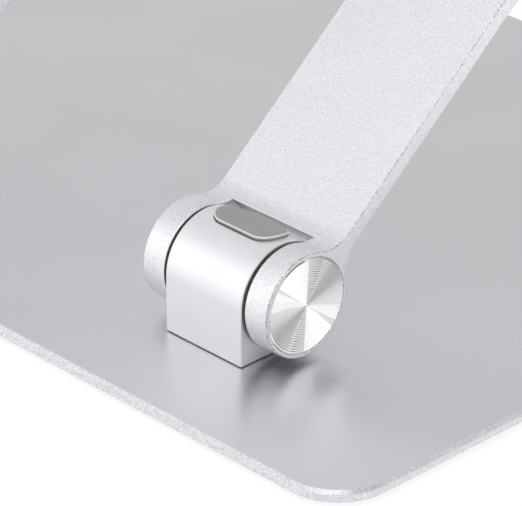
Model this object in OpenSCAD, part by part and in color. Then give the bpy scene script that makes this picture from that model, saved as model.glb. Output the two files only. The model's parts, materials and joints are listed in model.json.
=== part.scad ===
// Folding tablet stand in aluminium: a base plate, two flat arms and a tray, joined by friction hinges.
// Millimetres, +Z up. -Y faces the person who uses the stand and +X is on their right.
// The origin is the middle of the base's footprint, on the surface that the feet stand on.

/* [Plates] */
// Width of the base plate
base_w = 254.4; // [240:0.1:280]
// Depth of the base plate
base_d = 197.4; // [190:0.1:220]
// Thickness of the base plate and the tray plate
plate_t = 3; // [2.6:0.1:4]
// Radius of the plates' corners
plate_corner_r = 13.5; // [8:0.5:18]
// Height at which the feet hold the base plate
foot_proud = 1; // [0.8:0.1:2]

/* [Hinges] */
// Distance between the middles of the left and right hinges
hinge_spacing = 125; // [110:1:135]
// Distance from the base plate's rear edge to the base hinge axis
hinge_setback = 36.5; // [30:0.1:40]
// Width of a knuckle between its two washers
knuckle_w = 23; // [21:0.1:25]
// Radius of a knuckle's round end
knuckle_r = 12; // [11.5:0.1:12.3]
// Distance from a hinge axis to the plate that its knuckle is screwed to
axis_h = 13.2; // [13.2:0.1:14]
// Width of a whole hinge, which is also the width of an arm
hinge_w = 37.6; // [37:0.1:40]
// Radius of an arm's ears
ear_r = 11.8; // [11.5:0.1:12]
// Radius of the spun caps in the ears
cap_r = 10.8; // [10:0.1:10.9]
// Radius of the hinge bolts' shanks
bolt_r = 3; // [2.5:0.1:3]

/* [Arms] */
// Distance between the base hinge axis and the tray hinge axis
arm_len = 160; // [158:1:164]
// Thickness of an arm between its hinges
arm_t = 3.6; // [3:0.1:4]
// Angle of the arms above the base plate
arm_angle = 40; // [20:1:60]
// Radius of the hollow blend between an ear and the flat of the arm
ear_blend_r = 8.5; // [6:0.5:10]
// Distance from a hinge axis to the near end of the arm's flat
web_start = 13.3; // [13.2:0.1:14]

/* [Tray] */
// Width of the tray plate
tray_w = 230; // [220:1:250]
// Length of the tray plate above its hinge axis
tray_above = 166; // [158:1:166]
// Length of the tray plate below its hinge axis
tray_below = 12; // [12:0.1:13]
// Angle of the tray above the horizontal
tray_angle = 62; // [40:1:66]
// Width of the window in the tray
window_w = 84; // [60:1:90]
// Height of the window in the tray
window_h = 80; // [60:1:90]
// Distance from the tray hinge axis to the window
window_up = 50; // [45:1:60]
// Width of a hook
hook_w = 34; // [28:1:40]
// Thickness of tablet that the hooks take
hook_slot = 13; // [10:0.5:16]
// Height of a hook's lip above its ledge
lip_h = 10; // [9:0.5:14]

/* [Silicone] */
// Height of the tray pads above the tray plate
tray_pad_proud = 0.8; // [0.6:0.1:1.2]
// Width of a tray pad
tray_pad_w = 26; // [24:1:30]
// Length of a tray pad
tray_pad_len = 150; // [120:1:152]
// Height of a knuckle pad above the knuckle
knuckle_pad_proud = 0.8; // [0.5:0.1:0.9]
// Width of a knuckle pad
knuckle_pad_w = 18.4; // [12:0.1:19]
// Thickness of the sleeves on the hooks
sleeve_t = 1; // [0.8:0.1:1.5]

/* [Hidden] */
$fn = 96;

// Small gap between parts that are pressed or stuck together
fit = 0.02;
// Running gap between a bush and its bolt
run_fit = 0.05;

hinge_x = hinge_spacing / 2;
hinge_y = base_d / 2 - hinge_setback;
base_top = foot_proud + plate_t;
base_axis_z = base_top + axis_h;
tray_axis_y = hinge_y - arm_len * cos(arm_angle);
tray_axis_z = base_axis_z + arm_len * sin(arm_angle);

// Chamfers: on a plate's upper and lower edges, and on a knuckle's side edges
plate_chamfer = 0.75;
knuckle_chamfer = 0.2;
// Relief round a knuckle's foot, so that it sits flat on its plate
relief_h = 0.3;
relief_in = 0.5;

// Along a hinge axis, measured from the middle of the hinge
washer_t = 0.85;
ear_inner = knuckle_w / 2 + washer_t + run_fit;
ear_outer = hinge_w / 2;
cap_t = 1.2;
counterbore_depth = 3.2;
counterbore_r = 6;
cap_floor = ear_outer - cap_t;
ear_floor = cap_floor - counterbore_depth;
bolt_head_r = 5;
bolt_head_t = 2.5;
bolt_socket_r = 2.3;
bolt_socket_depth = 1.6;
nut_r = 5.7;
nut_t = 2.1;
spring_r = 5.6;
spring_t = 0.4;
spring_cone = 0.12;
washer_r = 11.2;
bush_r = 4;

// The centre of the blend between an ear and the arm's flat
blend_v = arm_t / 2 + ear_blend_r;
blend_u = sqrt(pow(ear_r + ear_blend_r, 2) - pow(blend_v, 2));

// Countersunk screws that hold the knuckles to their plates
screw_r = 2;
screw_head_r = 3.7;
screw_head_rim = 0.2;
screw_head_t = 1.9;
screw_grip = 7;
screw_socket_r = 1.45;
screw_socket_depth = 1.1;
screw_recess = 0.1;
screw_x = 6.5;

// Knuckle pad: it is wrapped over the top of the round end, nearer to the stand's outer side. Its angles
// run from straight up towards the side that the raised arm leans to
pad_seat = 0.4;
pad_start = -12.8;
pad_end = 29;
pad_corner_r = 4.3;
pad_shift = 0.35;

// Feet
foot_l = 56;
foot_w = 14;
foot_corner_r = 6.5;
foot_seat = 0.5;
foot_inset = 18;

// Tray pads and hooks, in the tray's own frame: Y runs up the tray and Z out of its front
tray_back = axis_h;
tray_front = axis_h + plate_t;
tray_pad_seat = 0.4;
tray_pad_start = -5.5;
tray_pad_corner_r = 6;
window_corner_r = 8;
bend_r = 2;
lip_corner_r = 5;
ledge_y = -tray_below;
bend_y = ledge_y + bend_r;
lip_in = tray_front + tray_pad_proud + hook_slot + sleeve_t;
lip_out = lip_in + plate_t;
lip_top = ledge_y + lip_h;

// Each hinge: its name, its side (-1 is left) and its level (0 is on the base, 1 is on the tray)
HINGES = [["left_base", -1, 0], ["right_base", 1, 0], ["left_tray", -1, 1], ["right_tray", 1, 1]];
// Each end of a hinge, seen from the middle of the stand
ENDS = [["inner", -1], ["outer", 1]];
// Left and right
SIDES = [["left", -1], ["right", 1]];
// Each foot: its name, its side and its end
FEET = [["foot_front_left", -1, -1], ["foot_front_right", 1, -1], ["foot_rear_left", -1, 1],
  ["foot_rear_right", 1, 1]];
// The parts that each hinge has one of
HINGE_PARTS = ["knuckle", "knuckle_pad", "bush", "hinge_bolt", "disc_springs", "lock_nut"];
// The parts that each end of a hinge has one of
END_PARTS = ["washer", "cap"];

// ---- Places ----

module at_base_hinge(side) translate([side * hinge_x, hinge_y, base_axis_z]) children();

// The arm's own frame: Y runs from the base hinge to the tray hinge
module at_arm(side) at_base_hinge(side) rotate([180 - arm_angle, 0, 0]) children();

module at_tray() translate([0, tray_axis_y, tray_axis_z]) rotate([tray_angle, 0, 0]) children();

// At a hinge and turning with the arm, with +X pointing away from the stand's middle
module on_arm_hinge(hinge)
  at_arm(hinge[1]) translate([0, hinge[2] * arm_len, 0]) rotate([0, hinge[1] < 0 ? 180 : 0, 0]) children();

// At a hinge and turning with the plate that carries its knuckle, with that plate towards -Z
module on_knuckle_hinge(hinge) {
  if (hinge[2] == 0) at_base_hinge(hinge[1]) children();
  else at_tray() translate([hinge[1] * hinge_x, 0, 0]) rotate([180, 0, 0]) children();
}

// ---- Shapes ----

// A cylinder along X, from x = start to x = end
module x_cylinder(radius, start, end, sides = $fn)
  translate([start, 0, 0]) rotate([0, 90, 0]) cylinder(r = radius, h = end - start, $fn = sides);

// A 2D rectangle with round corners, centred on the origin
module round_rect(width, depth, radius) {
  square([width - 2 * radius, depth], center = true);
  square([width, depth - 2 * radius], center = true);
  for (x = [-1, 1])
    for (y = [-1, 1])
      translate([x * (width / 2 - radius), y * (depth / 2 - radius)]) circle(radius);
}

// Half of a plate's cross-section, from its middle plane out to a chamfered edge
function edge_points(half) = [
  [half - plate_chamfer, 0], [half, plate_chamfer],
  [half, plate_t - plate_chamfer], [half - plate_chamfer, plate_t]
];

// A plate with round corners and chamfered edges, on z = 0 and centred on the origin
module edged_plate(width, depth) {
  r = plate_corner_r;
  for (size = [[width, depth - 2 * r, 0], [depth, width - 2 * r, 90]])
    rotate([90, 0, size[2]])
      linear_extrude(size[1], center = true)
        for (half = [0, 1])
          mirror([half, 0])
            polygon(concat([[0, 0]], edge_points(size[0] / 2), [[0, plate_t]]));
  for (x = [-1, 1])
    for (y = [-1, 1])
      translate([x * (width / 2 - r), y * (depth / 2 - r), 0])
        rotate_extrude() polygon(concat([[0, 0]], edge_points(r), [[0, plate_t]]));
}

// A countersunk screw along +Z, with its head's face on z = 0
module screw_shape(length)
  rotate_extrude()
    polygon([
      [0, 0], [screw_head_r, 0], [screw_head_r, screw_head_rim],
      [screw_r, screw_head_t], [screw_r, length], [0, length]
    ]);

// The hole that such a screw sits in: a little wider, and open below the head's face
module screw_hole()
  rotate_extrude()
    polygon([
      [0, -plate_t], [screw_head_r + run_fit, -plate_t], [screw_head_r + run_fit, screw_head_rim],
      [screw_r + run_fit, screw_head_t], [screw_r + run_fit, 2 * plate_t], [0, 2 * plate_t]
    ]);

module countersunk_screw(length)
  difference() {
    screw_shape(length);
    translate([0, 0, -1]) cylinder(r = screw_socket_r, h = screw_socket_depth + 1, $fn = 6);
  }

// Places a hinge's two knuckle screws, in the hinge's frame, with their heads at depth below the axis
module at_knuckle_screws(depth)
  for (x = [-screw_x, screw_x])
    translate([x, 0, -depth]) children();

// The knuckle pad's outline, pushed out of the round end, between two radii
module pad_shell(side, r_in, r_out, grow = 0) {
  middle = (pad_start + pad_end) / 2;
  chord = 2 * (knuckle_r + knuckle_pad_proud) * sin((pad_end - pad_start) / 2);
  intersection() {
    difference() {
      x_cylinder(r_out, -knuckle_w, knuckle_w);
      x_cylinder(r_in, -knuckle_w - 1, knuckle_w + 1);
    }
    rotate([middle, 0, 0])
      linear_extrude(2 * knuckle_r)
        translate([side * pad_shift, 0])
          round_rect(knuckle_pad_w + 2 * grow, chord + 2 * grow, pad_corner_r);
  }
}

// The hollow blends between an ear and both sides of the flat, in an arm's side view
module ear_blend()
  difference() {
    polygon([[0, 0], [blend_u, blend_v], [blend_u, -blend_v]]);
    for (v = [-1, 1])
      translate([blend_u, v * blend_v]) circle(ear_blend_r);
  }

// An arm before its slots and bores are cut: two ears, the flat between them and the hollow blends
module arm_blank() {
  linear_extrude(hinge_w, center = true)
    translate([0, -arm_t / 2]) square([arm_len, arm_t]);
  for (end = [0, 1])
    translate([end * arm_len, 0, 0])
      mirror([end, 0, 0]) {
        cylinder(h = hinge_w, r = ear_r, center = true);
        linear_extrude(hinge_w, center = true) ear_blend();
      }
}

// A quarter of a ring round a bend's centre, in the hooks' side view. front is 1 at the lip's bend
module quarter_bend(z, front)
  translate([bend_y, z])
    intersection() {
      difference() {
        circle(bend_r + plate_t);
        circle(bend_r);
      }
      translate([-2 * plate_t, front ? 0 : -2 * plate_t]) square(2 * plate_t);
    }

// The side view of a hook: down from the tray plate, out along the ledge and up to the lip
module hook_profile() {
  near_z = tray_front + bend_r;
  far_z = lip_in - bend_r;
  translate([bend_y, tray_back]) square([tray_below - bend_r, plate_t]);
  quarter_bend(near_z, 0);
  translate([ledge_y - plate_t, near_z]) square([plate_t, far_z - near_z]);
  quarter_bend(far_z, 1);
  translate([bend_y, lip_in]) square([lip_top - plate_t / 2 - bend_y, plate_t]);
  translate([lip_top - plate_t / 2, lip_in + plate_t / 2]) circle(plate_t / 2);
}

// The side view of a hook's sleeve: along the ledge, up the inside of the lip and over its top
module sleeve_profile() {
  far_z = lip_in - bend_r;
  near_z = tray_front + bend_r;
  difference() {
    union() {
      translate([ledge_y, near_z]) square([sleeve_t, far_z - near_z]);
      translate([ledge_y, far_z]) square([bend_r, bend_r]);
      translate([bend_y, lip_in - sleeve_t])
        square([lip_top - plate_t / 2 - bend_y, plate_t + 2 * sleeve_t]);
      translate([lip_top - plate_t / 2, lip_in + plate_t / 2]) circle(plate_t / 2 + sleeve_t);
    }
    hook_profile();
    translate([bend_y, far_z]) circle(bend_r - sleeve_t);
  }
}

// Pushes a hook's side view out to a width, and rounds the lip's upper corners
module hook_extrude(side, width, top)
  translate([side * hinge_x, 0, 0])
    intersection() {
      rotate([90, 0, 90]) linear_extrude(width, center = true) children();
      linear_extrude(2 * lip_out)
        translate([0, top - tray_w / 2]) round_rect(width, tray_w, lip_corner_r);
    }

// ---- Base ----

module base_plate() color([0.77, 0.78, 0.79])
  difference() {
    translate([0, 0, foot_proud]) edged_plate(base_w, base_d);
    for (f = FEET)
      at_foot(f) translate([0, 0, -1]) foot_shape(fit, foot_proud + foot_seat + 1);
    for (s = SIDES)
      at_base_hinge(s[1])
        at_knuckle_screws(axis_h + plate_t - screw_recess) screw_hole();
  }

module at_foot(f)
  translate([f[1] * (base_w / 2 - foot_inset - foot_l / 2), f[2] * (base_d / 2 - foot_inset), 0]) children();

module foot_shape(grow, height)
  linear_extrude(height) round_rect(foot_l + 2 * grow, foot_w + 2 * grow, foot_corner_r);

module foot(f) color([0.35, 0.35, 0.36])
  at_foot(f) foot_shape(0, foot_proud + foot_seat);

module base_screws() color([0.55, 0.55, 0.57])
  for (s = SIDES)
    at_base_hinge(s[1])
      at_knuckle_screws(axis_h + plate_t - screw_recess)
        countersunk_screw(plate_t - screw_recess + screw_grip);

// ---- Arms ----

module arm(side) color([0.87, 0.87, 0.88])
  at_arm(side)
    difference() {
      rotate([90, 0, 90]) arm_blank();
      for (end = [0, 1])
        translate([0, end * arm_len, 0])
          rotate([0, 0, end * 180]) {
            translate([-ear_inner, -2 * ear_r, -ear_r])
              cube([2 * ear_inner, 2 * ear_r + web_start, 2 * ear_r]);
            x_cylinder(bolt_r + fit, -hinge_w, hinge_w);
            for (turn = [0, 180])
              rotate([0, turn, 0]) {
                x_cylinder(counterbore_r, ear_floor, hinge_w);
                x_cylinder(cap_r + fit, cap_floor, hinge_w);
              }
          }
    }

// ---- Hinge parts ----

module knuckle(hinge) color([0.88, 0.88, 0.89])
  on_knuckle_hinge(hinge)
    difference() {
      union() {
        rotate([0, 90, 0])
          rotate_extrude()
            polygon([
              [0, -knuckle_w / 2], [knuckle_r - knuckle_chamfer, -knuckle_w / 2],
              [knuckle_r, knuckle_chamfer - knuckle_w / 2], [knuckle_r, knuckle_w / 2 - knuckle_chamfer],
              [knuckle_r - knuckle_chamfer, knuckle_w / 2], [0, knuckle_w / 2]
            ]);
        translate([0, 0, -axis_h])
          linear_extrude(axis_h)
            square([knuckle_w - 2 * relief_in, 2 * (knuckle_r - relief_in)], center = true);
        translate([0, 0, relief_h - axis_h])
          linear_extrude(axis_h - relief_h)
            for (x = [0, 1])
              mirror([x, 0])
                polygon([
                  [0, -knuckle_r], [knuckle_w / 2 - knuckle_chamfer, -knuckle_r],
                  [knuckle_w / 2, knuckle_chamfer - knuckle_r], [knuckle_w / 2, knuckle_r - knuckle_chamfer],
                  [knuckle_w / 2 - knuckle_chamfer, knuckle_r], [0, knuckle_r]
                ]);
      }
      x_cylinder(bush_r + fit, -knuckle_w, knuckle_w);
      pad_shell(hinge[1], knuckle_r - pad_seat, 2 * knuckle_r, fit);
      at_knuckle_screws(axis_h + 1) cylinder(r = screw_r + fit, h = screw_grip + 1 + fit);
    }

module knuckle_pad(hinge) color([0.6, 0.6, 0.59])
  on_knuckle_hinge(hinge) pad_shell(hinge[1], knuckle_r - pad_seat + fit, knuckle_r + knuckle_pad_proud);

module bush(hinge) color([0.72, 0.55, 0.35])
  on_knuckle_hinge(hinge)
    difference() {
      x_cylinder(bush_r, -knuckle_w / 2, knuckle_w / 2);
      x_cylinder(bolt_r + run_fit, -knuckle_w, knuckle_w);
    }

module washer(hinge, end) color([0.3, 0.24, 0.18])
  on_knuckle_hinge(hinge)
    rotate([0, hinge[1] * end < 0 ? 180 : 0, 0])
      difference() {
        x_cylinder(washer_r, knuckle_w / 2, knuckle_w / 2 + washer_t);
        x_cylinder(bolt_r + run_fit, 0, knuckle_w);
      }

module hinge_bolt(hinge) color([0.5, 0.5, 0.52])
  on_arm_hinge(hinge)
    difference() {
      union() {
        x_cylinder(bolt_r, fit - cap_floor, ear_floor + fit);
        x_cylinder(bolt_head_r, ear_floor + fit, ear_floor + bolt_head_t);
      }
      x_cylinder(bolt_socket_r, ear_floor + bolt_head_t - bolt_socket_depth, hinge_w, 6);
    }

// Two conical spring washers back to back
module disc_springs(hinge) color([0.45, 0.45, 0.47])
  on_arm_hinge(hinge)
    for (flip = [0, 1])
      translate([-ear_floor - spring_t - spring_cone - fit, 0, 0])
        rotate([0, -90 + 180 * flip, 0])
          rotate_extrude()
            polygon([
              [bolt_r + run_fit, spring_cone + fit], [spring_r, fit], [spring_r, spring_t + fit],
              [bolt_r + run_fit, spring_t + spring_cone]
            ]);

module lock_nut(hinge) color([0.5, 0.5, 0.52])
  on_arm_hinge(hinge)
    difference() {
      x_cylinder(nut_r, -ear_floor - counterbore_depth + run_fit, nut_t - ear_floor - counterbore_depth, 6);
      x_cylinder(bolt_r + fit, -hinge_w, hinge_w);
    }

module cap(hinge, end) color([0.84, 0.84, 0.85])
  on_arm_hinge(hinge)
    rotate([0, end < 0 ? 180 : 0, 0]) x_cylinder(cap_r, cap_floor + fit, ear_outer);

// ---- Tray ----

module tray_plate() color([0.8, 0.8, 0.81])
  at_tray()
    difference() {
      union() {
        translate([0, (tray_above - tray_below) / 2, tray_back])
          edged_plate(tray_w, tray_above + tray_below);
        for (s = SIDES)
          hook_extrude(s[1], hook_w, lip_top) hook_profile();
      }
      translate([0, window_up + window_h / 2, 0])
        linear_extrude(2 * tray_front) round_rect(window_w, window_h, window_corner_r);
      for (s = SIDES) {
        at_tray_pad(s[1], tray_pad_seat) tray_pad_shape(plate_t, fit);
        translate([s[1] * hinge_x, 0, 0])
          rotate([180, 0, 0])
            at_knuckle_screws(tray_front - tray_pad_seat - screw_recess) screw_hole();
      }
    }

module at_tray_pad(side, seat)
  translate([side * hinge_x, tray_pad_start + tray_pad_len / 2, tray_front - seat]) children();

module tray_pad_shape(height, grow)
  linear_extrude(height) round_rect(tray_pad_w + 2 * grow, tray_pad_len + 2 * grow, tray_pad_corner_r);

module tray_pad(side) color([0.6, 0.6, 0.59])
  at_tray() at_tray_pad(side, tray_pad_seat) tray_pad_shape(tray_pad_seat + tray_pad_proud, 0);

module hook_sleeve(side) color([0.6, 0.6, 0.59])
  at_tray() hook_extrude(side, hook_w, lip_top + sleeve_t) sleeve_profile();

module tray_screws() color([0.55, 0.55, 0.57])
  at_tray()
    for (s = SIDES)
      translate([s[1] * hinge_x, 0, 0])
        rotate([180, 0, 0])
          at_knuckle_screws(tray_front - tray_pad_seat - screw_recess)
            countersunk_screw(plate_t - tray_pad_seat - screw_recess + screw_grip);

// ---- The nodes ----

base_plate();
base_screws();
arm(-1);  // left_arm
arm(1);  // right_arm
tray_plate();
tray_screws();
for (f = FEET)
  foot(f);
for (s = SIDES) {
  tray_pad(s[1]);
  hook_sleeve(s[1]);
}
for (h = HINGES) {
  knuckle(h);
  knuckle_pad(h);
  bush(h);
  hinge_bolt(h);
  disc_springs(h);
  lock_nut(h);
  for (e = ENDS) {
    washer(h, e[1]);
    cap(h, e[1]);
  }
}
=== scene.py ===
"""Looks for the folding tablet stand: materials, silicone pieces, spun caps, studio light and camera."""
import json
import math

import bmesh
import bpy
from mathutils import Matrix, Vector


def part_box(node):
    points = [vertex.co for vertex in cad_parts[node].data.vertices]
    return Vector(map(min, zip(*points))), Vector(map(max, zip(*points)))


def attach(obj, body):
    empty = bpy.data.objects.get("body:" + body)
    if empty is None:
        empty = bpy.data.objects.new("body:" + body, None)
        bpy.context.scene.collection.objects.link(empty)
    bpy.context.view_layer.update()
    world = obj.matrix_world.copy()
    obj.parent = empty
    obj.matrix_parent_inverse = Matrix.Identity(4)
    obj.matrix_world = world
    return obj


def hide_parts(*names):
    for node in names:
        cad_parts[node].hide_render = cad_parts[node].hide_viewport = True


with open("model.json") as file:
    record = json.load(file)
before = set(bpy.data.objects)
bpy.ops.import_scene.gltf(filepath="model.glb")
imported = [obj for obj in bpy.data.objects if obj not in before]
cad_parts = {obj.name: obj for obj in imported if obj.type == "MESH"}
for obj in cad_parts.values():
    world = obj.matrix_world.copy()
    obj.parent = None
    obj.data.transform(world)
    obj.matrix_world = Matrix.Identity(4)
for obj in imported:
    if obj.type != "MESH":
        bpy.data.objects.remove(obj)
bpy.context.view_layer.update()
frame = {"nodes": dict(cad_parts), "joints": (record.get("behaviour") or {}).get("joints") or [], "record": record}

MM = 0.001


# ---------------------------------------------------------------- sizes, in millimetres

# Where the parts are, from the frame
JOINTS = {j["name"]: Vector(j["pos_m"]) / MM for j in frame["joints"]}
MOUNTS = {m["name"]: m for m in frame["record"]["mounts"]}
TRAY_NORMAL = Vector(MOUNTS["tablet_face"]["axis"])
TRAY_ANGLE = math.atan2(-TRAY_NORMAL.y, TRAY_NORMAL.z)


def box_mm(node):
    """A CAD node's lowest and highest corners, in millimetres."""
    low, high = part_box(node)
    return low / MM, high / MM


def middle_mm(node):
    low, high = box_mm(node)
    return (low + high) / 2


# Each hinge, with the body that holds its knuckle and the joint that it turns on
HINGES = {
    "left_base": ("base", "arms_fold"),
    "right_base": ("base", "arms_fold"),
    "left_tray": ("tray", "tray_tilt"),
    "right_tray": ("tray", "tray_tilt"),
}
SIDES = {"left": -1, "right": 1}

KNUCKLE_LOW, KNUCKLE_HIGH = box_mm("left_base_knuckle")
KNUCKLE_R = (KNUCKLE_HIGH.y - KNUCKLE_LOW.y) / 2
PLATE_T = box_mm("base_plate")[1].z - box_mm("base_plate")[0].z
AXIS_H = JOINTS["arms_fold"].z - box_mm("base_plate")[1].z
TRAY_FRONT = AXIS_H + PLATE_T
HINGE_X = middle_mm("right_arm").x
ARM_WIDTH = box_mm("right_arm")[1].x - box_mm("right_arm")[0].x

# Knuckle pad: its angles run from straight up towards the arm's side
PAD_WIDTH = 18.4
PAD_SHIFT = 0.35
PAD_PROUD = 0.8
PAD_SEAT = 0.38
PAD_START = math.radians(-12.8)
PAD_END = math.radians(29)
PAD_CORNER = 4.3
PAD_EDGE = 0.25

# Tray pads
TRAY_PAD_PROUD = 0.8
TRAY_PAD_SEAT = 0.4
TRAY_PAD_WIDTH = 26.0
TRAY_PAD_LENGTH = 150.0
TRAY_PAD_START = -5.5
TRAY_PAD_CORNER = 6.0
TRAY_PAD_EDGE = 0.35

# Hook sleeves, in the tray's own frame: y runs up the tray and z out of its front
SLEEVE_T = 1.0
HOOK_WIDTH = 34.0
HOOK_SLOT = 13.0
LIP_H = 10.0
LIP_CORNER = 5.0
BEND_R = 2.0
LEDGE_Y = -12.0
SLEEVE_EDGE = 0.3
SLEEVE_FIT = 0.02

# Feet
FOOT_CORNER = 6.5
FOOT_EDGE = 0.3

# Arms' broken edges, which are those that turn by more than ARM_BEVEL_ANGLE degrees
ARM_BEVEL = 0.2
ARM_BEVEL_SEGMENTS = 2
ARM_BEVEL_ANGLE = 30
WELD = 0.002

# Spun caps
CAP_T = 1.18
CAP_GROOVES = 19
CAP_GROOVE_DEPTH = 0.13
CAP_HUB_R = 0.2
CAP_RIM = 0.25
CAP_EDGE_IN = 0.08
CAP_EDGE_DOWN = 0.1
CAP_SEGMENTS = 96

# Tints, as factors on red, green and blue
PLAIN = (1.0, 1.0, 1.0)
BLUISH = (0.965, 0.972, 1.0)
WARM = (1.04, 1.0, 0.97)
# the tint of the pad rim's painted highlight
RIM_HIGHLIGHT_TINT = (1.03, 1.0, 0.98)


# ---------------------------------------------------------------- node helpers


class Nodes:
    """A short way to build a material's node tree."""

    def __init__(self, name):
        self.material = bpy.data.materials.new(name)
        self.material.use_nodes = True
        self.tree = self.material.node_tree
        self.shader = self.tree.nodes["Principled BSDF"]

    def add(self, kind, inputs=None, **settings):
        node = self.tree.nodes.new(kind)
        for key, value in settings.items():
            setattr(node, key, value)
        for key, value in (inputs or {}).items():
            self.link_or_set(node.inputs[key], value)
        return node

    def link_or_set(self, socket, value):
        if isinstance(value, bpy.types.NodeSocket):
            self.tree.links.new(value, socket)
        else:
            socket.default_value = value

    def set(self, **values):
        """Sets the shader's inputs, named with _ for a space, to values or to other nodes' outputs."""
        for key, value in values.items():
            self.link_or_set(self.shader.inputs[key.replace("_", " ")], value)

    def place(self):
        """The point being shaded, in metres, in the object's own frame."""
        return self.add("ShaderNodeTexCoord").outputs["Object"]

    def noise(self, per_mm, detail=2.0, rough=0.5):
        """Noise with about per_mm blobs in a millimetre."""
        scaled = self.add("ShaderNodeMapping", {"Vector": self.place(), "Scale": [per_mm / MM] * 3})
        made = self.add(
            "ShaderNodeTexNoise",
            {"Vector": scaled.outputs["Vector"], "Scale": 1.0, "Detail": detail, "Roughness": rough},
        )
        return made.outputs["Fac"]

    def ramp(self, value, low, high, out_low=0.0, out_high=1.0):
        """value's range from low to high, stretched to the range from out_low to out_high and clamped."""
        mapped = self.add(
            "ShaderNodeMapRange",
            {"Value": value, "From Min": low, "From Max": high, "To Min": out_low, "To Max": out_high},
        )
        return mapped.outputs["Result"]

    def spread(self, noise, low=0.0, high=1.0):
        """Noise, most of which lies between 0.3 and 0.7, stretched to the range from low to high."""
        return self.ramp(noise, 0.3, 0.7, low, high)

    def math(self, operation, *values):
        made = self.add("ShaderNodeMath", dict(enumerate(values)), operation=operation)
        return made.outputs["Value"]

    def mix_colour(self, factor, first, second):
        mixed = self.add("ShaderNodeMixRGB")
        for name, value in (("Fac", factor), ("Color1", first), ("Color2", second)):
            self.link_or_set(mixed.inputs[name], value)
        return mixed.outputs["Color"]

    def paint_corner_shade(self, colour, reach_mm):
        """The same colour with painted shade: falling to near black where two surfaces meet within reach_mm."""
        open_sky = self.add("ShaderNodeAmbientOcclusion", {"Distance": reach_mm * MM}, samples=8)
        # grey(0.08) is the painted shade, laid wherever ambient occlusion finds a corner
        return self.mix_colour(self.ramp(open_sky.outputs["AO"], 0.45, 0.8), grey(0.08), colour)

    def bump(self, height, depth_mm, strength=1.0):
        made = self.add("ShaderNodeBump", {"Height": height, "Strength": strength, "Distance": depth_mm * MM})
        return made.outputs["Normal"]


def grey(value, tint=PLAIN):
    return (value * tint[0], value * tint[1], value * tint[2], 1.0)


# ---------------------------------------------------------------- materials


def blasted_aluminium(name, darkest, brightest, dent_mm, reach_mm):
    """Bead-blasted, clear anodised: a fine, even sparkle of tiny dents, and painted shade where parts meet."""
    n = Nodes(name)
    dents = n.noise(2.6, rough=0.8)
    cloud = n.noise(0.05)
    sparkle = n.mix_colour(n.spread(dents), grey(darkest, BLUISH), grey(brightest, BLUISH))
    n.set(
        Metallic=1.0,
        # the base colour carries painted shade in the corners
        Base_Color=n.paint_corner_shade(sparkle, reach_mm),
        Roughness=n.spread(cloud, 0.42, 0.48),
        Normal=n.bump(dents, dent_mm),
    )
    return n.material


def edge_speckle_and_highlight():
    """The arms' rounded edges: dark with bright specks outside, and a painted highlight of plain bright metal
    beside a knuckle.
    """
    n = Nodes("edge_speckle_and_highlight")
    specks = n.noise(2.4, rough=0.8)
    speckled = n.mix_colour(n.ramp(specks, 0.42, 0.58), grey(0.3, BLUISH), grey(0.85, BLUISH))
    across = n.math("ABSOLUTE", n.add("ShaderNodeSeparateXYZ", {"Vector": n.place()}).outputs["X"])
    from_middle = n.math("ABSOLUTE", n.math("SUBTRACT", across, HINGE_X * MM))
    outside = n.ramp(from_middle, (ARM_WIDTH / 2 - 2) * MM, (ARM_WIDTH / 2 - 1) * MM)
    n.set(
        Metallic=1.0,
        # plain bright metal beside a knuckle is a painted highlight; the outer edges stay dark and speckled
        Base_Color=n.mix_colour(outside, grey(1.0, BLUISH), speckled),
        Roughness=0.4,
        Normal=n.bump(specks, 0.1),
    )
    return n.material


def plate_aluminium(name, flat_normal):
    """Fine satin, clear anodised. The cut edges, which face away from flat_normal, are grainier. Painted shade
    where parts meet.
    """
    n = Nodes(name)
    grain = n.noise(5.0)
    cloud = n.noise(0.02)
    specks = n.noise(1.8, rough=0.8)
    facing = n.add("ShaderNodeTexCoord").outputs["Normal"]
    turned = n.add("ShaderNodeVectorMath", {0: facing, 1: flat_normal}, operation="DOT_PRODUCT")
    flat = n.ramp(n.math("ABSOLUTE", turned.outputs["Value"]), 0.8, 0.95)
    satin = n.mix_colour(n.spread(cloud), grey(0.74, BLUISH), grey(0.77, BLUISH))
    grainy = n.mix_colour(n.spread(specks), grey(0.6, BLUISH), grey(0.9, BLUISH))
    n.set(
        Metallic=1.0,
        # the base colour carries painted shade where the knuckles stand on the plate
        Base_Color=n.paint_corner_shade(n.mix_colour(flat, grainy, satin), 0.3),
        Roughness=n.math("ADD", n.spread(grain, 0.3, 0.36), n.ramp(flat, 0.0, 1.0, 0.2, 0.0)),
        Normal=n.bump(grain, 0.02, 0.5),
    )
    return n.material


def spun_aluminium():
    """Turned, bright and a little uneven. The circular grooves are in the caps' meshes."""
    n = Nodes("spun_aluminium")
    marks = n.noise(4.0)
    n.set(Metallic=1.0, Base_Color=grey(0.92), Roughness=n.spread(marks, 0.03, 0.06))
    return n.material


def silicone(name, value, tint):
    """Matt moulded silicone, faintly clouded."""
    n = Nodes(name)
    grain = n.noise(2.5, detail=3.0)
    cloud = n.noise(0.12)
    clouded = n.mix_colour(n.spread(cloud), grey(value * 0.96, tint), grey(value * 1.04, tint))
    n.set(
        Base_Color=clouded,
        Roughness=n.spread(grain, 0.36, 0.44),
        Normal=n.bump(grain, 0.02, 0.4),
    )
    return n.material


def plain_metal(name, colour, roughness):
    """Machined metal whose roughness varies a little."""
    n = Nodes(name)
    marks = n.noise(1.5, detail=3.0)
    uneven = n.spread(marks, roughness * 0.85, roughness * 1.15)
    n.set(Metallic=1.0, Base_Color=colour, Roughness=uneven)
    return n.material


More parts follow.
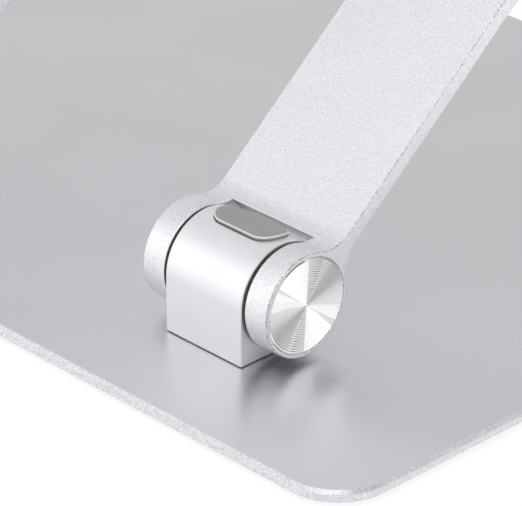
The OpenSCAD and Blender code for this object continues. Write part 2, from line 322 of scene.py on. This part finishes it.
def friction_lining():
    """The washers' dark brown pressed fibre."""
    n = Nodes("friction_lining")
    fibre = n.noise(3.0, detail=3.0)
    dark, light = (0.012, 0.009, 0.007, 1), (0.07, 0.045, 0.028, 1)
    n.set(
        Base_Color=n.mix_colour(n.spread(fibre), dark, light),
        Roughness=0.6,
        Normal=n.bump(fibre, 0.05, 0.5),
    )
    return n.material


MATERIALS = {
    "blasted_aluminium": blasted_aluminium("blasted_aluminium", 0.74, 1.0, dent_mm=0.09, reach_mm=0.35),
    "plate_aluminium": plate_aluminium("plate_aluminium", (0, 0, 1)),
    "spun_aluminium": spun_aluminium(),
    "grey_silicone": silicone("grey_silicone", 0.31, WARM),
    "foot_silicone": silicone("foot_silicone", 0.1, PLAIN),
    "steel": plain_metal("steel", grey(0.45), roughness=0.35),
    "friction_lining": friction_lining(),
    "bush_bronze": plain_metal("bush_bronze", (0.55, 0.33, 0.14, 1), roughness=0.4),
}

# Finishes that share a slot: the tray's plate lies at an angle to the base's, the knuckles are blasted
# finer than the arms, the arms' rounded edges are dark and speckled with a painted highlight beside a knuckle, and
# a knuckle pad's rim is painted pale as a highlight
TRAY_ALUMINIUM = plate_aluminium("tray_aluminium", TRAY_NORMAL)
FINE_BLASTED = blasted_aluminium("fine_blasted_aluminium", 0.86, 0.92, dent_mm=0.04, reach_mm=0.25)
EDGE_SPECKLE_AND_HIGHLIGHT = edge_speckle_and_highlight()
# a pale silicone for the pad's round edge: a painted highlight
PAD_RIM_HIGHLIGHT = silicone("painted_pad_rim_highlight", 0.72, RIM_HIGHLIGHT_TINT)


def dress_cad_nodes():
    """Gives every CAD node its slot's material."""
    slots = {s["node"]: s["material_slot"] for s in frame["record"]["subparts"]}
    for name, obj in frame["nodes"].items():
        obj.data.materials.clear()
        finish = MATERIALS[slots[name]]
        if name.endswith("_knuckle"):
            finish = FINE_BLASTED
        elif name == "tray_plate":
            finish = TRAY_ALUMINIUM
        obj.data.materials.append(finish)


def break_edges(arm):
    """Rounds an arm's sharp edges without touching its mesh, and gives them their own material: dark and speckled,
    with a painted highlight beside a knuckle.
    """
    arm.data.materials.append(EDGE_SPECKLE_AND_HIGHLIGHT)
    weld = arm.modifiers.new("weld", "WELD")
    weld.merge_threshold = WELD * MM
    bevel = arm.modifiers.new("bevel", "BEVEL")
    bevel.width = ARM_BEVEL * MM
    bevel.segments = ARM_BEVEL_SEGMENTS
    bevel.limit_method = "ANGLE"
    bevel.angle_limit = math.radians(ARM_BEVEL_ANGLE)
    bevel.use_clamp_overlap = False
    bevel.harden_normals = False
    # the rounded edges take the material that paints a highlight beside a knuckle
    bevel.material = len(arm.data.materials) - 1
    weighted = arm.modifiers.new("weighted", "WEIGHTED_NORMAL")
    weighted.keep_sharp = False
    weighted.weight = 100


# ---------------------------------------------------------------- mesh helpers


def new_piece(name, bm, body, slot, replaced, smooth=True):
    """Turns a bmesh in metres, in the row frame, into a piece that rides on a body."""
    mesh = bpy.data.meshes.new(name)
    bmesh.ops.recalc_face_normals(bm, faces=bm.faces)
    for face in bm.faces:
        face.smooth = smooth
    bm.to_mesh(mesh)
    bm.free()
    obj = bpy.data.objects.new(name, mesh)
    bpy.context.scene.collection.objects.link(obj)
    mesh.materials.append(MATERIALS[slot])
    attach(obj, body)
    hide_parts(replaced)
    return obj


def hinge_place(hinge):
    """From a hinge's own frame, whose plate lies towards -z, to the row frame, in millimetres."""
    body, joint = HINGES[hinge]
    middle = JOINTS[joint].copy()
    middle.x = middle_mm(hinge + "_bush").x
    turn = Matrix.Identity(4)
    if body == "tray":
        turn = Matrix.Rotation(TRAY_ANGLE + math.pi, 4, "X")
    return Matrix.Translation(middle) @ turn


def tray_place():
    """From the tray's own frame to the row frame, in millimetres."""
    return Matrix.Translation(JOINTS["tray_tilt"]) @ Matrix.Rotation(TRAY_ANGLE, 4, "X")


def round_outline(width, depth, radius, steps=8):
    """Points round a rectangle with round corners, in order."""
    points = []
    for corner in range(4):
        x = (width / 2 - radius) * (1 if corner in (0, 3) else -1)
        y = (depth / 2 - radius) * (1 if corner in (0, 1) else -1)
        for step in range(steps + 1):
            angle = math.pi / 2 * (corner + step / steps)
            points.append((x + radius * math.cos(angle), y + radius * math.sin(angle)))
    return points


def along_edges(points, spacing):
    """The same outline with extra points, so that no side is longer than spacing."""
    dense = []
    for start, end in zip(points, points[1:] + points[:1]):
        length = math.dist(start, end)
        parts = max(1, math.ceil(length / spacing))
        for part in range(parts):
            share = part / parts
            dense.append((start[0] + (end[0] - start[0]) * share, start[1] + (end[1] - start[1]) * share))
    return dense


def edge_profile(bottom, top, edge, steps=4):
    """A pad's side, as (inset, height) steps: straight up, then a round edge onto the top."""
    steps_up = [(0.0, bottom), (0.0, top - edge)]
    for step in range(1, steps + 1):
        angle = math.pi / 2 * step / steps
        steps_up.append((edge * (1 - math.cos(angle)), top - edge + edge * math.sin(angle)))
    return steps_up


def moulded_pad(width, depth, corner, profile, place, top_rings=5, spacing=2.0, rim=0):
    """A pad with a round edge. place takes (x, y, height) in millimetres to a point in the row frame.

    The round edge takes the material with the number rim.
    """
    bm = bmesh.new()
    base = along_edges(round_outline(width, depth, corner), spacing)
    count = len(base)
    bottom, top = profile[0][1], profile[-1][1]
    rings = []
    for inset, height in profile:
        scale_x = (width - 2 * inset) / width
        scale_y = (depth - 2 * inset) / depth
        rings.append([(x * scale_x, y * scale_y, height) for x, y in base])
    edge = rings[-1]
    for i in range(1, top_rings):
        left = 1 - i / top_rings
        rings.append([(x * left, y * left, top) for x, y, _ in edge])
    made = [[bm.verts.new(place(*p) * MM) for p in ring] for ring in rings]
    for step, (lower, upper) in enumerate(zip(made, made[1:])):
        for i in range(count):
            j = (i + 1) % count
            face = bm.faces.new((lower[i], lower[j], upper[j], upper[i]))
            face.material_index = rim if 1 <= step < len(profile) - 1 else 0
    for ring, height in ((made[0], bottom), (made[-1], top)):
        hub = bm.verts.new(place(0, 0, height) * MM)
        for i in range(count):
            bm.faces.new((ring[i], ring[(i + 1) % count], hub))
    return bm


# ---------------------------------------------------------------- pieces


def make_knuckle_pad(hinge):
    """A silicone bumper wrapped on a knuckle's round end."""
    radius = KNUCKLE_R + PAD_PROUD
    middle = (PAD_START + PAD_END) / 2
    depth = radius * (PAD_END - PAD_START)
    to_row = hinge_place(hinge)
    shift = PAD_SHIFT * SIDES[hinge.split("_")[0]]

    def wrapped(x, y, height):
        angle = middle + y / radius
        return to_row @ Vector((x + shift, -height * math.sin(angle), height * math.cos(angle)))

    profile = edge_profile(KNUCKLE_R - PAD_SEAT, radius, PAD_EDGE)
    bm = moulded_pad(PAD_WIDTH, depth, PAD_CORNER, profile, wrapped, top_rings=7, spacing=1.0, rim=1)
    pad = new_piece(hinge + "_silicone_bumper", bm, HINGES[hinge][0], "grey_silicone", hinge + "_knuckle_pad")
    # the pad's round edge takes the pale silicone, a painted highlight
    pad.data.materials.append(PAD_RIM_HIGHLIGHT)


def make_cap(hinge, end):
    """A turned cap with circular grooves, flush in an arm's ear."""
    node = f"{hinge}_{end}_cap"
    low, high = box_mm(node)
    middle = (low + high) / 2
    outwards = SIDES[hinge.split("_")[0]] * (1 if end == "outer" else -1)
    face_x = high.x if outwards > 0 else low.x
    radius = max(high.y - low.y, high.z - low.z) / 2
    grooved_r = radius - CAP_RIM
    profile = []
    for step in range(2 * CAP_GROOVES + 1):
        r = CAP_HUB_R + (grooved_r - CAP_HUB_R) * step / (2 * CAP_GROOVES)
        profile.append((r, -CAP_GROOVE_DEPTH * (step % 2)))
    profile += [(radius - CAP_EDGE_IN, 0), (radius, -CAP_EDGE_DOWN), (radius, -CAP_T)]
    bm = bmesh.new()
    rings = []
    for r, depth in profile:
        ring = []
        for i in range(CAP_SEGMENTS):
            angle = 2 * math.pi * i / CAP_SEGMENTS
            y = middle.y + r * math.cos(angle)
            z = middle.z + r * math.sin(angle)
            ring.append(bm.verts.new(Vector((face_x + outwards * depth, y, z)) * MM))
        rings.append(ring)
    for inner, outer in zip(rings, rings[1:]):
        for i in range(CAP_SEGMENTS):
            j = (i + 1) % CAP_SEGMENTS
            bm.faces.new((inner[i], inner[j], outer[j], outer[i]))
    bm.faces.new(rings[0])
    bm.faces.new(rings[-1])
    new_piece(node.replace("_cap", "_spun_cap"), bm, "arms", "spun_aluminium", node, smooth=False)


def make_tray_pad(side):
    """A long silicone strip let into the tray's front."""
    to_row = tray_place()
    middle_x = middle_mm(side + "_tray_pad").x
    middle_y = TRAY_PAD_START + TRAY_PAD_LENGTH / 2

    def flat(x, y, height):
        return to_row @ Vector((middle_x + x, middle_y + y, height))

    profile = edge_profile(TRAY_FRONT - TRAY_PAD_SEAT, TRAY_FRONT + TRAY_PAD_PROUD, TRAY_PAD_EDGE)
    bm = moulded_pad(TRAY_PAD_WIDTH, TRAY_PAD_LENGTH, TRAY_PAD_CORNER, profile, flat)
    new_piece(side + "_tray_strip", bm, "tray", "grey_silicone", side + "_tray_pad")


def make_foot(node):
    """A silicone foot let into the base plate's underside."""
    low, high = box_mm(node)
    middle = (low + high) / 2

    def below(x, y, height):
        return Vector((middle.x + x, middle.y + y, high.z - height))

    width, depth, height = high - low
    bm = moulded_pad(width, depth, FOOT_CORNER, edge_profile(0.0, height, FOOT_EDGE), below)
    new_piece(node + "_silicone", bm, "base", "foot_silicone", node)


def arc(centre, radius, start, end, steps=8):
    """Points round a centre in the hooks' side view, from one angle in degrees to another."""
    points = []
    for step in range(steps + 1):
        angle = math.radians(start + (end - start) * step / steps)
        points.append((centre[0] + radius * math.cos(angle), centre[1] + radius * math.sin(angle)))
    return points


def sleeve_side(offset):
    """The sleeve's line at a distance from the hook's metal, as (y, z) in the tray's frame."""
    lip_in = TRAY_FRONT + TRAY_PAD_PROUD + HOOK_SLOT + SLEEVE_T
    lip_mid = lip_in + PLATE_T / 2
    lip_end = LEDGE_Y + LIP_H - PLATE_T / 2
    bend = (LEDGE_Y + BEND_R, lip_in - BEND_R)
    start = (LEDGE_Y + offset, TRAY_FRONT + BEND_R)
    corner = arc(bend, BEND_R - offset, 180, 90)
    top = arc((lip_end, lip_mid), PLATE_T / 2 + offset, -90, 90, 12)
    end = (LEDGE_Y + BEND_R, lip_in + PLATE_T + offset)
    return [start] + corner + top + [end]


def make_hook_sleeve(side):
    """A silicone sleeve on a hook's ledge and lip, with its side edges rounded."""
    to_row = tray_place()
    middle_x = middle_mm(side + "_hook_sleeve").x
    lip_top = LEDGE_Y + LIP_H + SLEEVE_T
    metal = sleeve_side(SLEEVE_FIT)
    steps = 4
    edge = []
    for step in range(steps, -1, -1):
        angle = math.pi / 2 * step / steps
        edge.append((SLEEVE_EDGE * (1 - math.sin(angle)), SLEEVE_EDGE * (1 - math.cos(angle))))
    stations = [(-1, inset, thin) for inset, thin in edge] + [(1, inset, thin) for inset, thin in edge[::-1]]
    bm = bmesh.new()
    loops = []
    for sign, inset, thin in stations:
        outside = sleeve_side(SLEEVE_T - thin)
        loop = []
        for y, z in outside + metal[::-1]:
            over = min(max(0.0, y - (lip_top - LIP_CORNER)), LIP_CORNER)
            half = HOOK_WIDTH / 2 - LIP_CORNER + math.sqrt(LIP_CORNER**2 - over**2)
            x = middle_x + sign * (half - inset)
            loop.append(bm.verts.new((to_row @ Vector((x, y, z))) * MM))
        loops.append(loop)
    count = len(loops[0])
    for first, second in zip(loops, loops[1:]):
        for i in range(count):
            j = (i + 1) % count
            bm.faces.new((first[i], first[j], second[j], second[i]))
    bm.faces.new(loops[0])
    bm.faces.new(loops[-1])
    new_piece(side + "_hook_sock", bm, "tray", "grey_silicone", side + "_hook_sleeve")


# ---------------------------------------------------------------- studio

# The room's brightness, and the dark patch in it: its direction and its radius, in degrees
ROOM_WHITE = 0.74
ROOM_DARK = 0.04
DARK_AZIMUTH = 312
DARK_ELEVATION = 66
DARK_INNER = 30
DARK_OUTER = 38

# What the lights face, and each light's azimuth, elevation, distance, width, height and brightness.
# Lengths are in metres
LIT_POINT = (0.0, 0.03, 0.05)
LIGHTS = {
    "rear_right": (137, 14, 1.0, 1.1, 0.8, 0.64),
    "left": (284, 20, 1.0, 0.93, 0.7, 0.5),
    "front_left": (323, 40, 1.0, 0.32, 0.32, 1.4),
    "overhead": (212, 66, 1.2, 0.7, 0.7, 3.0),
    "front_low": (342, 5, 1.0, 0.55, 0.35, 0.8),
}

FLOOR_HALF = 4.0
FLOOR_GREY = 0.35
FLOOR_GLOW = 0.72

# The camera's direction from the left base hinge, and where the hinge lies off the view's middle
CAMERA_AZIMUTH = 226.033
CAMERA_ELEVATION = 27.733
CAMERA_DISTANCE = 826.8
CAMERA_LENS = 269.8
CAMERA_RIGHT = 3.54
CAMERA_UP = 4.75


def soft_box(name, place, target, size, radiance):
    """A rectangular soft box at a place in metres, turned to a target. radiance is how bright its face is."""
    light = bpy.data.lights.new(name, "AREA")
    light.shape = "RECTANGLE"
    light.size, light.size_y = size
    light.energy = radiance * math.pi * size[0] * size[1]
    obj = bpy.data.objects.new(name, light)
    obj.location = place
    direction = Vector(target) - Vector(place)
    obj.rotation_euler = direction.to_track_quat("-Z", "Y").to_euler()
    bpy.context.scene.collection.objects.link(obj)


def around(azimuth, elevation, distance, target):
    """A place at an azimuth and elevation, in degrees, round a target. Azimuth 0 is on the -y side."""
    a, e = math.radians(azimuth), math.radians(elevation)
    back = Vector((math.sin(a) * math.cos(e), -math.cos(a) * math.cos(e), math.sin(e)))
    return Vector(target) + back * distance


def make_room():
    """An evenly white room with one dark patch, high up on the front left."""
    world = bpy.data.worlds.new("room")
    bpy.context.scene.world = world
    world.use_nodes = True
    tree = world.node_tree
    direction = tree.nodes.new("ShaderNodeTexCoord").outputs["Generated"]
    dot = tree.nodes.new("ShaderNodeVectorMath")
    dot.operation = "DOT_PRODUCT"
    tree.links.new(direction, dot.inputs[0])
    dot.inputs[1].default_value = around(DARK_AZIMUTH, DARK_ELEVATION, 1.0, (0, 0, 0))
    shade = tree.nodes.new("ShaderNodeMapRange")
    shade.interpolation_type = "SMOOTHSTEP"
    tree.links.new(dot.outputs["Value"], shade.inputs["Value"])
    shade.inputs["From Min"].default_value = math.cos(math.radians(DARK_OUTER))
    shade.inputs["From Max"].default_value = math.cos(math.radians(DARK_INNER))
    shade.inputs["To Min"].default_value = ROOM_WHITE
    shade.inputs["To Max"].default_value = ROOM_DARK
    tree.links.new(shade.outputs["Result"], tree.nodes["Background"].inputs["Strength"])
    tree.nodes["Background"].inputs["Color"].default_value = (1, 1, 1, 1)


def make_studio():
    """A pale floor that glows a little, the room and its lights."""
    floor_mesh = bpy.data.meshes.new("floor")
    bm = bmesh.new()
    bmesh.ops.create_grid(bm, x_segments=1, y_segments=1, size=FLOOR_HALF)
    bm.to_mesh(floor_mesh)
    bm.free()
    floor = bpy.data.objects.new("floor", floor_mesh)
    bpy.context.scene.collection.objects.link(floor)
    n = Nodes("floor")
    n.set(
        Base_Color=grey(FLOOR_GREY),
        Roughness=0.9,
        Specular_IOR_Level=0.1,
        Emission_Color=grey(1.0),
        Emission_Strength=FLOOR_GLOW,
    )
    floor_mesh.materials.append(n.material)

    make_room()
    for name, (azimuth, elevation, distance, width, height, radiance) in LIGHTS.items():
        place = around(azimuth, elevation, distance, LIT_POINT)
        soft_box(name, place, LIT_POINT, (width, height), radiance)


def make_camera():
    """The camera looks at the left base hinge from behind the stand."""
    azimuth = math.radians(CAMERA_AZIMUTH)
    back = around(CAMERA_AZIMUTH, CAMERA_ELEVATION, 1.0, (0, 0, 0))
    right = Vector((math.cos(azimuth), math.sin(azimuth), 0))
    up = back.cross(right)
    hinge = hinge_place("left_base").to_translation() * MM
    camera_data = bpy.data.cameras.new("camera")
    camera_data.lens = CAMERA_LENS
    camera_data.sensor_width = 36
    camera_data.clip_start = 0.01
    camera = bpy.data.objects.new("camera", camera_data)
    turn = Matrix((right, up, back)).transposed().to_4x4()
    place = hinge + (back * CAMERA_DISTANCE + right * CAMERA_RIGHT + up * CAMERA_UP) * MM
    camera.matrix_world = Matrix.Translation(place) @ turn
    bpy.context.scene.collection.objects.link(camera)
    bpy.context.scene.camera = camera
    bpy.context.scene.view_settings.view_transform = "Standard"


# ---------------------------------------------------------------- build

dress_cad_nodes()
for arm in ("left_arm", "right_arm"):
    break_edges(frame["nodes"][arm])
for hinge in HINGES:
    make_knuckle_pad(hinge)
    for end in ("inner", "outer"):
        make_cap(hinge, end)
for side in SIDES:
    make_tray_pad(side)
    make_hook_sleeve(side)
for name in sorted(frame["nodes"]):
    if name.startswith("foot_"):
        make_foot(name)
make_studio()
make_camera()
